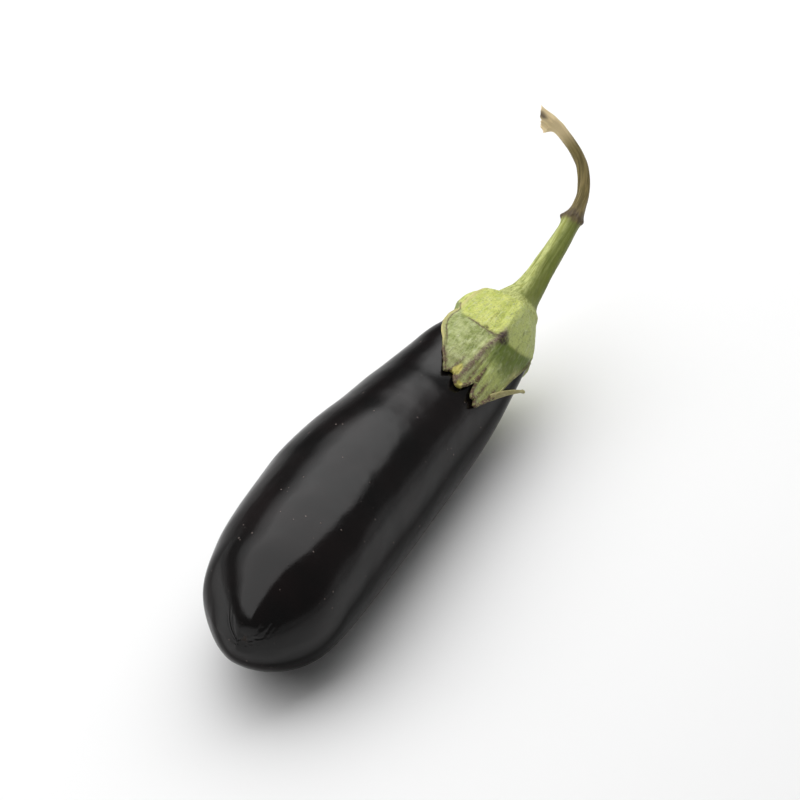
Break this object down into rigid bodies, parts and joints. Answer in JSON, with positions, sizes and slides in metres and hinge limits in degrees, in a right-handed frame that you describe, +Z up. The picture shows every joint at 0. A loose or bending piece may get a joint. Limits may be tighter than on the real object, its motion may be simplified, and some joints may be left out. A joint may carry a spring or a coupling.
{
  "type": "eggplant",
  "caption": "Long, slightly curved dark purple eggplant lying on its side, with its green calyx and curved stem.",
  "frame": {"origin": "middle of the small flat spot on the belly that the eggplant rests on", "axes": "+Z up from the surface it lies on, X along the fruit with the blossom end towards -X and the stem towards +X, +Y to the outside of its bend"},
  "size_m": [0.2164, 0.0476, 0.0772],
  "materials": {
    "skin": "gloss",
    "calyx_green": "matte",
    "stem_bark": "matte"
  },
  "bodies": {
    "root": {"fruit": "skin", "calyx": "calyx_green", "stem": "stem_bark"}
  },
  "joints": []
}
